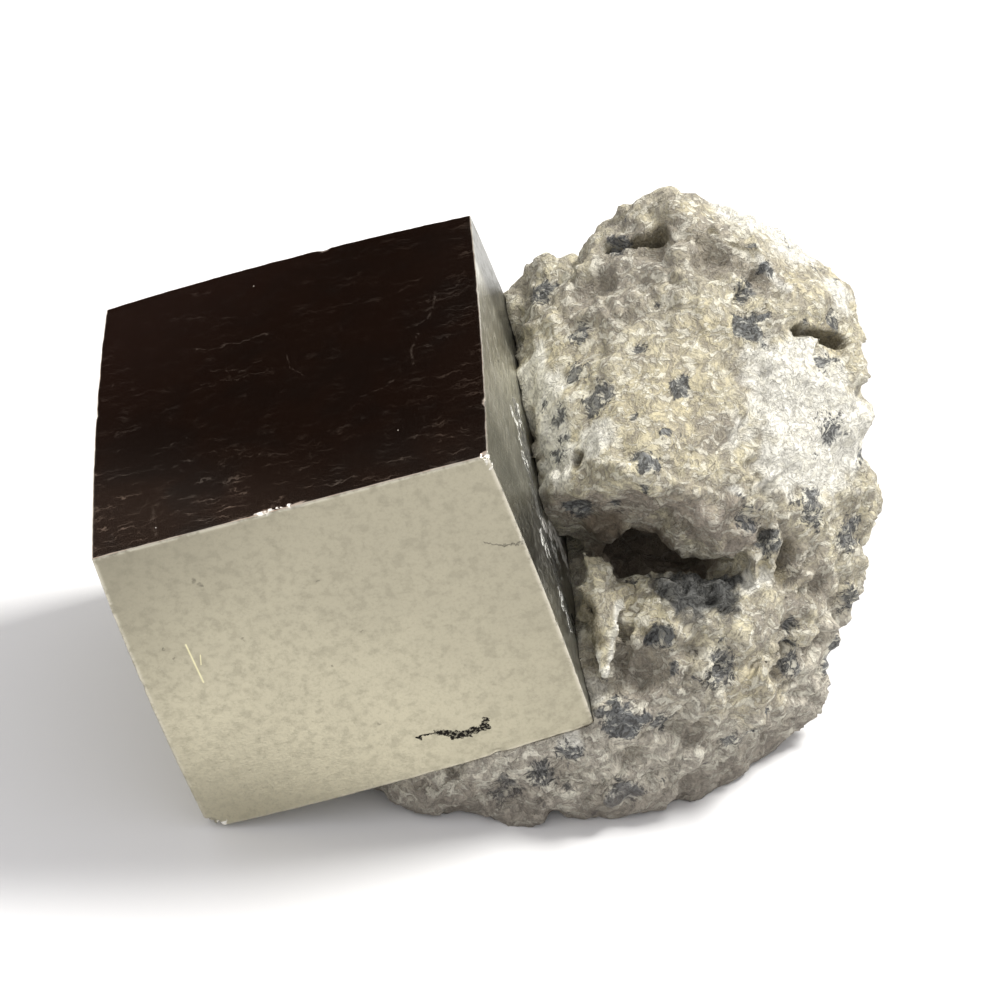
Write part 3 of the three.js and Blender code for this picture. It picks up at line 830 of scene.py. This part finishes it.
def carve_large_forms(mesh):
    places, _ = read_points(mesh)
    push(places, (13.6, -6.0, 16.0), (3.2, 3.4, 4.0), (0.3, -1.3, -0.4))
    push(places, (10.4, -7.6, 16.0), (6.2, 3.4, 2.4), (0, 1.3, 0.1))
    push(places, (20.5, -8.0, 8.0), (4.5, 4.5, 5.5), (0.4, -0.3, 0))
    push(places, (20.5, -6.5, 2.0), (4.5, 5.0, 3.5), (0.3, -0.4, 0))
    push(places, (1.8, 5.4, 20.6), (2.6, 3.8, 3.2), (0.8, 0, 0))
    push(places, (11.6, 8.4, 28.6), (4.5, 4.5, 4.0), (0, 0, -0.35))
    write_points(mesh, places)


def ledge_height(places):
    """Height of a stepped surface: broken ledges that overhang the ones below."""
    slope = places @ np.array([-0.50, -0.30, 0.80]) + 1.3 * at_each(noise.noise, places, 3.0)
    part = slope / 1.5 - np.floor(slope / 1.5)
    strength = soft_step(at_each(noise.noise, places + 50, 2.2), -0.25, 0.35)
    return strength * soft_step(part, 0, 0.12) * (1 - part)


def carve_surface(mesh):
    places, normals = read_points(mesh)
    start_places = places.copy()
    near = soft_step(form.distance(places), 0.15, 0.9)
    wander = np.array([noise.noise_vector(Vector(place)) for place in places / 1.7])
    bent = places + 0.5 * wander
    still = patches(places, 0 * wander[:, 0], STILL_ZONES, 0.5)
    calm = np.maximum(patches(places, wander[:, 0], CALM_ZONES, 0.5), still)
    granular = patches(places, wander[:, 0], GRANULAR_ZONES, 0.4)
    broken = 1 - 0.8 * calm
    height = 0.80 * at_each(chip_height, bent, 4.4) * (1 - 0.4 * calm)
    height += 0.56 * at_each(chip_height, bent + 30, 2.3) * (1 - 0.65 * calm)
    height += 0.22 * at_each(chip_height, bent, 1.1) * broken
    height += 0.62 * ledge_height(places + 0.35 * wander) * broken
    height += 0.115 * at_each(rough_height, places, 0.9) * (1 - 0.4 * calm)
    height += 0.04 * at_each(crust_height, bent, 1.0) * broken
    height += 0.40 * at_each(crust_height, bent, 0.75) * granular
    height *= (1 - 0.8 * still) * (0.45 + 0.55 * soft_step(places[:, 2], 0.3, 2.5))
    relief = height.copy()
    for middle, reach, depth in DENTS:
        away = np.linalg.norm((places - middle) / np.array(reach), axis=1)
        relief -= depth * np.clip(1 - away * away, 0, 1) ** 1.5 * (1 - still)
    for middle, reach, depth in PITS:
        away = np.linalg.norm(places - middle, axis=1) / reach + 0.3 * wander[:, 1]
        relief -= depth * np.clip(1 - away * away, 0, 1)
    for start, end, radius, depth in CRACKS:
        relief -= groove_depth(places + 0.3 * wander, start, end, radius, depth)
    places += normals * (relief * near)[:, None]
    write_points(mesh, places)
    return start_places, relief


def meet_crystal(mesh):
    """Draws the stone up to the crystal's faces and holds it out of the crystal."""
    places, _ = read_points(mesh)
    distance = form.distance(places)
    pull = 1 - soft_step(distance, CONTACT_REACH * 0.6, CONTACT_REACH)
    nearest = form.nearest(places, CONTACT_GAP)
    places += (nearest - places) * pull[:, None]
    places[:, 2] = np.maximum(places[:, 2], 0)
    write_points(mesh, places)


def seams(places, wander, lines):
    """Mask of ragged thin lines, 1 along their middles."""
    mask = np.zeros(len(places))
    for start, end, radius in lines:
        mask = np.maximum(mask, groove_depth(places, start, end, radius, 1.0))
    return soft_step(mask + 0.25 * wander, 0.15, 0.55)


def paint_masks(mesh, start_places, height):
    """Masks of the stone's minerals and stains, and of its painted shade in hollows, cracks, pits, the deep
    hollow, under the crag, at its foot and along the crystal, laid on the places its surface was carved
    from.
    """
    carved, _ = read_points(mesh)
    places = start_places
    wander = at_each(rough_height, places, 0.75)
    broad = at_each(noise.noise, places, 3.4)
    twist = np.array([noise.noise_vector(Vector(place)) for place in places / 0.9])
    twisted = places + 0.55 * twist
    slightly = places + 0.2 * twist
    knots = patches(twisted, wander, GREY_GRAINS, 0.5)
    dark = patches(twisted, 0.8 * wander, DARK_GRAINS, 0.4)
    scatter = np.array([noise.voronoi(Vector(place))[0][0] for place in twisted / 2.1])
    pick = at_each(noise.noise, places, 2.6)
    seldom = 0.22 + 0.12 * soft_step(places[:, 2], 14, 4) + 0.10 * soft_step(places[:, 0], 14, 20)
    small = soft_step(seldom * np.clip(pick * 2.4, 0, 1) + 0.08 * wander - scatter, -0.06, 0.08)
    chalk = patches(twisted, 0.8 * wander + 0.4 * broad, PALE_ZONES, 0.3)
    # painted shade in the pits and cracks
    crack_and_pit_shade = patches(slightly, 0.4 * wander, PIT_SHADE_ZONES, 0.5)
    write_mask(mesh, "grey_grains", np.maximum(0.72 * np.maximum(knots, small), dark))
    write_mask(mesh, "granular", patches(twisted, 0.8 * wander, GRANULAR_ZONES, 0.4))
    write_mask(mesh, "brown_clay", patches(twisted, 0.9 * wander + 0.5 * broad, BROWN_ZONES, 0.45))
    write_mask(mesh, "chalk", np.maximum(chalk, seams(slightly, wander, PALE_LINES)))
    write_mask(mesh, "ochre", patches(twisted, 0.8 * wander + 0.6 * broad, OCHRE_ZONES, 0.6))
    write_mask(mesh, "crack_and_pit_shade", np.maximum(crack_and_pit_shade, seams(slightly, wander, CRACK_SHADE_LINES)))
    # painted shade inside the deep hollow
    write_mask(mesh, "cave_shade", patches(carved, 0.4 * wander, CAVE_SHADE_ZONES, 0.35))
    # painted shade under the crag
    write_mask(mesh, "underside_shade", patches(twisted, 0.6 * wander, UNDER_SHADE_ZONES, 0.5))
    # painted shade: darker close to the floor, where the stone's foot curves under
    write_mask(mesh, "foot", soft_step(carved[:, 2] + 1.2 * wander, 4.4, 0.2))
    write_mask(mesh, "low", soft_step(places[:, 2] + 2.4 * broad, 12.5, 5.5))
    # painted shade: darker where the carving sank the surface
    write_mask(mesh, "hollows", soft_step(-height, 0.02, 0.6))
    # painted shade where the stone meets the crystal
    write_mask(mesh, "contact_shade", soft_step(form.distance(carved), 0.5, 0.1))


def tinted(tree, colour, mask, strength, tint):
    """A colour with a tint laid over it where the mask is high."""
    return blend(tree, maths(tree, "MULTIPLY", mask, strength), colour, tint)


def marl_material():
    """Pale crumbly marl: cream clay with chalk, brown and yellow stains and blue-grey grains, and painted
    shade in its hollows, cracks and pits, under the crag, at its foot and where it meets the crystal.
    """
    material, tree, shader = new_material("marl")
    metres = node(tree, "ShaderNodeTexCoord").outputs["Object"]
    place = stretched(tree, metres, (1 / MM,) * 3)
    sway = node(tree, "ShaderNodeTexNoise", {"Vector": place, "Scale": 0.75, "Detail": 3.0}).outputs
    bent = vectors(tree, "MULTIPLY_ADD", "Vector", sway["Color"], (1.7, 1.7, 1.7), place)
    sockets = {"Vector": bent, "Rotation": (0.5, 0.35, 0.6), "Scale": (0.75, 1.2, 1.45)}
    leaning = node(tree, "ShaderNodeMapping", sockets).outputs["Vector"]
    sockets = {"Vector": bent, "Rotation": (-0.7, 0.6, -0.4), "Scale": (1.4, 0.75, 1.2)}
    crossing = node(tree, "ShaderNodeMapping", sockets).outputs["Vector"]
    clouds = placed(tree, MOTTLE, Place=place, Size=1.9, Detail=5.0, Swirl=0.3, Low=0.38, High=0.62)
    light_flecks = placed(tree, MOTTLE, Place=leaning, Size=0.66, Detail=5.0, Swirl=0.2,
                          Low=0.51, High=0.59)
    dark_flecks = placed(tree, MOTTLE, Place=crossing, Size=0.72, Detail=5.0, Swirl=0.2,
                         Low=0.485, High=0.58)
    small_flecks = placed(tree, MOTTLE, Place=crossing, Size=0.27, Detail=4.0, Swirl=0.1,
                          Low=0.46, High=0.59)
    dust = placed(tree, MOTTLE, Place=place, Size=0.12, Detail=2.0, Swirl=0.0, Low=0.34, High=0.66)
    blotches = placed(tree, MOTTLE, Place=bent, Size=1.05, Detail=4.0, Swirl=0.2, Low=0.40, High=0.62)
    chalk = mask_of(tree, "chalk")
    low = mask_of(tree, "low")
    brown = mask_of(tree, "brown_clay")
    fewer = ramp(tree, chalk, 0, 1, 0.54, 0.18)
    patchy = maths(tree, "ADD", 0.16, maths(tree, "MULTIPLY", maths(tree, "MAXIMUM", low, brown), 0.36))
    patchy = maths(tree, "MULTIPLY", patchy, ramp(tree, chalk, 0, 1, 1.0, 0.3))

    colour = blend(tree, clouds, (0.580, 0.528, 0.360), (0.400, 0.364, 0.268))
    colour = tinted(tree, colour, low, 0.80, (0.580, 0.540, 0.458))
    colour = tinted(tree, colour, mask_of(tree, "ochre"), 0.60, (0.520, 0.455, 0.275))
    colour = tinted(tree, colour, brown, 0.72, (0.318, 0.284, 0.222))
    # painted shade under the crag
    colour = tinted(tree, colour, mask_of(tree, "underside_shade"), 0.85, (0.300, 0.255, 0.205))
    colour = tinted(tree, colour, chalk, 0.90, (0.835, 0.822, 0.738))
    colour = tinted(tree, colour, blotches, patchy, (0.260, 0.228, 0.185))
    colour = tinted(tree, colour, dark_flecks, fewer, (0.190, 0.168, 0.140))
    colour = tinted(tree, colour, light_flecks, 0.62, (0.800, 0.775, 0.650))
    colour = tinted(tree, colour, small_flecks, 0.30, (0.260, 0.235, 0.195))
    # more painted shade under the crag
    colour = tinted(tree, colour, mask_of(tree, "underside_shade"), 0.45, (0.200, 0.166, 0.132))
    # painted shade in the carved hollows
    colour = tinted(tree, colour, mask_of(tree, "hollows"), 0.50, (0.200, 0.172, 0.132))
    # painted shade in the cracks and pits
    colour = tinted(tree, colour, mask_of(tree, "crack_and_pit_shade"), 0.88, (0.130, 0.108, 0.055))
    colour = tinted(tree, colour, dust, 0.10, (0.92, 0.89, 0.80))

    edges = maths(tree, "SUBTRACT", small_flecks, light_flecks)
    grey = maths(tree, "ADD", mask_of(tree, "grey_grains"), maths(tree, "MULTIPLY", edges, 0.42))
    ragged = ramp(tree, grey, 0.20, 0.85)
    mineral = blend(tree, small_flecks, (0.112, 0.120, 0.124), (0.016, 0.018, 0.021))
    mineral = tinted(tree, mineral, light_flecks, 0.40, (0.400, 0.412, 0.395))
    colour = tinted(tree, colour, ragged, 0.90, mineral)
    granules = blend(tree, small_flecks, (0.060, 0.062, 0.061), (0.009, 0.010, 0.011))
    granules = tinted(tree, granules, light_flecks, 0.20, (0.230, 0.232, 0.222))
    colour = tinted(tree, colour, mask_of(tree, "granular"), 0.95, granules)
    # painted shade inside the deep hollow
    colour = tinted(tree, colour, mask_of(tree, "cave_shade"), 0.80, (0.120, 0.088, 0.058))
    # painted shade along the stone's foot
    colour = tinted(tree, colour, mask_of(tree, "foot"), 0.66, (0.125, 0.104, 0.085))
    # painted shade where the stone meets the crystal
    colour = tinted(tree, colour, mask_of(tree, "contact_shade"), 0.25, (0.30, 0.28, 0.24))
    tree.links.new(colour, shader["Base Color"])
    tree.links.new(ramp(tree, ragged, 0, 1, 0.92, 0.50), shader["Roughness"])

    relief = maths(tree, "SUBTRACT", light_flecks, dark_flecks)
    relief = maths(tree, "SUBTRACT", relief, maths(tree, "MULTIPLY", small_flecks, 0.45))
    relief = maths(tree, "ADD", relief, maths(tree, "MULTIPLY", dust, 0.25))
    bump = node(tree, "ShaderNodeBump", {"Height": relief, "Strength": 0.8, "Distance": 0.09 * MM})
    tree.links.new(bump.outputs["Normal"], shader["Normal"])
    return material


def make_marl():
    shape = merged_shape("marl_matrix")
    mesh = even_mesh(made_mesh(shape, "marl_start"), COARSE_GRAIN)
    carve_large_forms(mesh)
    shape = bmesh.new()
    shape.from_mesh(mesh)
    add_lumps(shape)
    mesh = even_mesh(made_mesh(shape, "marl_lumps"), FINE_GRAIN)
    mesh.name = "marl_surface"
    start_places, height = carve_surface(mesh)
    meet_crystal(mesh)
    paint_masks(mesh, start_places, height)
    return finish_piece(mesh, "marl", "marl_matrix", marl_material())


# ---- Stage ------------------------------------------------------------------------------------


def make_floor():
    bpy.ops.mesh.primitive_plane_add(size=4)
    floor = bpy.context.object
    floor.name = "floor"
    material, _, shader = new_material("pale paper")
    shader["Base Color"].default_value = (0.75, 0.75, 0.75, 1)
    shader["Roughness"].default_value = 0.9
    floor.data.materials.append(material)


def make_lights():
    """One soft key light from the back right, and an even pale room with one dark wall."""
    light = bpy.data.lights.new("key", "AREA")
    light.size = KEY_SIZE
    light.energy = KEY_POWER
    light.color = KEY_COLOUR
    lamp = bpy.data.objects.new("key", light)
    lamp.location = KEY_DIRECTION * KEY_DISTANCE
    lamp.rotation_euler = KEY_DIRECTION.to_track_quat("Z", "Y").to_euler()
    bpy.context.scene.collection.objects.link(lamp)
    bpy.context.scene.world = make_room()
    bpy.context.scene.view_settings.view_transform = "Standard"


def make_room():
    world = bpy.data.worlds.new("pale room")
    world.use_nodes = True
    tree = world.node_tree
    direction = node(tree, "ShaderNodeTexCoord").outputs["Generated"]
    towards = vectors(tree, "DOT_PRODUCT", "Value", direction, DARK_WALL_DIRECTION)
    wall = ramp(tree, towards, math.cos(DARK_WALL_OUTER), math.cos(DARK_WALL_INNER))
    path = node(tree, "ShaderNodeLightPath").outputs
    shown = maths(tree, "MULTIPLY", wall, path["Is Glossy Ray"])
    colour = blend(tree, shown, ROOM_COLOUR, DARK_WALL_COLOUR)
    colour = blend(tree, path["Is Camera Ray"], colour, (2.0, 2.0, 2.0))
    background = tree.nodes["Background"].inputs
    background["Strength"].default_value = ROOM_STRENGTH
    tree.links.new(colour, background["Color"])
    return world


def make_camera():
    camera = bpy.data.objects.new("camera", bpy.data.cameras.new("camera"))
    bpy.context.scene.collection.objects.link(camera)
    camera.data.lens = CAMERA_LENS
    camera.data.sensor_width = SENSOR_WIDTH
    camera.data.clip_start = 0.01
    back = Vector((0, -math.cos(CAMERA_PITCH), math.sin(CAMERA_PITCH)))
    camera.location = (CAMERA_AIM + back * CAMERA_DISTANCE) * MM
    camera.rotation_euler = Euler((math.pi / 2 - CAMERA_PITCH, 0, 0))
    bpy.context.scene.camera = camera


make_camera()
make_crystal()
make_marl()
make_floor()
make_lights()
